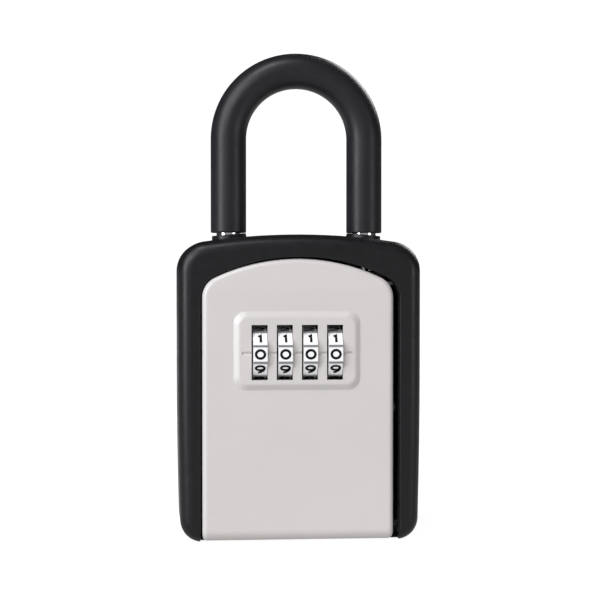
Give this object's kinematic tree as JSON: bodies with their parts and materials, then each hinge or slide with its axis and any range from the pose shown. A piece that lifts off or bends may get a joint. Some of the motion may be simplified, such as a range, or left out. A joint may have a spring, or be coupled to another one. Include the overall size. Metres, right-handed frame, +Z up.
{
  "type": "key lock box",
  "caption": "Portable key lock box: arched black case, bottom-hinged grey door with a four-digit dial panel, and a removable covered shackle.",
  "frame": {"origin": "middle of the base, under the middle of the case's width and of the whole depth", "axes": "+Z up along the shackle, -Y out of the door's face, +X to the right seen from the front"},
  "size_m": [0.09, 0.041, 0.182],
  "materials": {
    "black_plastic": "satin, fine grain",
    "cast_box": "dark coated casting",
    "black_rubber": "matte",
    "plain_steel": "zinc plated",
    "spring_steel": "bright",
    "chromed_steel": "polished",
    "vinyl_sleeve": "satin vinyl",
    "grey_paint": "fine satin coat",
    "dial_silver": "satin silver",
    "black_steel": "black oxide",
    "slider_plastic": "moulded"
  },
  "bodies": {
    "case": {"outer_shell": "black_plastic", "inner_box": "cast_box", "rear_pad": "black_rubber", "door_seal": "black_rubber", "hinge_pins": "black_steel", "shell_screws": "plain_steel", "shackle_collars": "black_plastic", "lock_cover": "plain_steel", "lock_cover_screws": "plain_steel", "shackle_latch_spring": "spring_steel"},
    "shackle": {"shackle_rod": "chromed_steel", "shackle_sleeve": "vinyl_sleeve"},
    "shackle_latch": {"shackle_latch": "plain_steel"},
    "door": {"door_cover": "grey_paint", "mechanism_cover": "black_plastic", "cover_screws": "plain_steel", "dial_shaft": "plain_steel", "shaft_clips": "spring_steel", "detent_spring": "spring_steel", "latch_springs": "spring_steel"},
    "locking_plate": {"locking_plate": "black_steel"},
    "code_slider": {"code_slider": "slider_plastic"},
    "dial_1": {"dial_1": "dial_silver"},
    "code_cam_1": {"code_cam_1": "black_steel"},
    "dial_2": {"dial_2": "dial_silver"},
    "code_cam_2": {"code_cam_2": "black_steel"},
    "dial_3": {"dial_3": "dial_silver"},
    "code_cam_3": {"code_cam_3": "black_steel"},
    "dial_4": {"dial_4": "dial_silver"},
    "code_cam_4": {"code_cam_4": "black_steel"}
  },
  "joints": [
    {"name": "door_hinge", "type": "hinge", "parent": "case", "child": "door", "pos_m": [0, -0.0118, 0.0064], "axis": [1, 0, 0], "range_deg": [0, 90]},
    {"name": "shackle_lift", "type": "slide", "parent": "case", "child": "shackle", "axis": [0, 0, 1], "range_m": [0, 0.045]},
    {"name": "shackle_latch_slide", "type": "slide", "parent": "case", "child": "shackle_latch", "axis": [1, 0, 0], "range_m": [0, 0.0024], "stiffness_N_per_m": 300, "springref_m": -0.003, "deforming": ["shackle_latch_spring"]},
    {"name": "locking_plate_slide", "type": "slide", "parent": "door", "child": "locking_plate", "axis": [0, 0, 1], "range_m": [-0.0022, 0], "stiffness_N_per_m": 200, "springref_m": 0.004, "deforming": ["latch_springs"]},
    {"name": "code_change_slide", "type": "slide", "parent": "door", "child": "code_slider", "axis": [-1, 0, 0], "range_m": [0, 0.0016]},
    {"name": "dial_1_turn", "type": "hinge", "parent": "door", "child": "dial_1", "pos_m": [-0.01507, -0.0109, 0.0695], "axis": [1, 0, 0], "continuous": true},
    {"name": "code_cam_1_turn", "type": "hinge", "parent": "code_slider", "child": "code_cam_1", "pos_m": [-0.01707, -0.0109, 0.0695], "axis": [1, 0, 0], "continuous": true},
    {"name": "dial_2_turn", "type": "hinge", "parent": "door", "child": "dial_2", "pos_m": [-0.00583, -0.0109, 0.0695], "axis": [1, 0, 0], "continuous": true},
    {"name": "code_cam_2_turn", "type": "hinge", "parent": "code_slider", "child": "code_cam_2", "pos_m": [-0.00783, -0.0109, 0.0695], "axis": [1, 0, 0], "continuous": true},
    {"name": "dial_3_turn", "type": "hinge", "parent": "door", "child": "dial_3", "pos_m": [0.00343, -0.0109, 0.0695], "axis": [1, 0, 0], "continuous": true},
    {"name": "code_cam_3_turn", "type": "hinge", "parent": "code_slider", "child": "code_cam_3", "pos_m": [0.00143, -0.0109, 0.0695], "axis": [1, 0, 0], "continuous": true},
    {"name": "dial_4_turn", "type": "hinge", "parent": "door", "child": "dial_4", "pos_m": [0.01268, -0.0109, 0.0695], "axis": [1, 0, 0], "continuous": true},
    {"name": "code_cam_4_turn", "type": "hinge", "parent": "code_slider", "child": "code_cam_4", "pos_m": [0.01068, -0.0109, 0.0695], "axis": [1, 0, 0], "continuous": true}
  ],
  "couplings": [
    {"joint": "code_cam_1_turn", "follows": "dial_1_turn", "ratio": 1},
    {"joint": "code_cam_2_turn", "follows": "dial_2_turn", "ratio": 1},
    {"joint": "code_cam_3_turn", "follows": "dial_3_turn", "ratio": 1},
    {"joint": "code_cam_4_turn", "follows": "dial_4_turn", "ratio": 1}
  ]
}
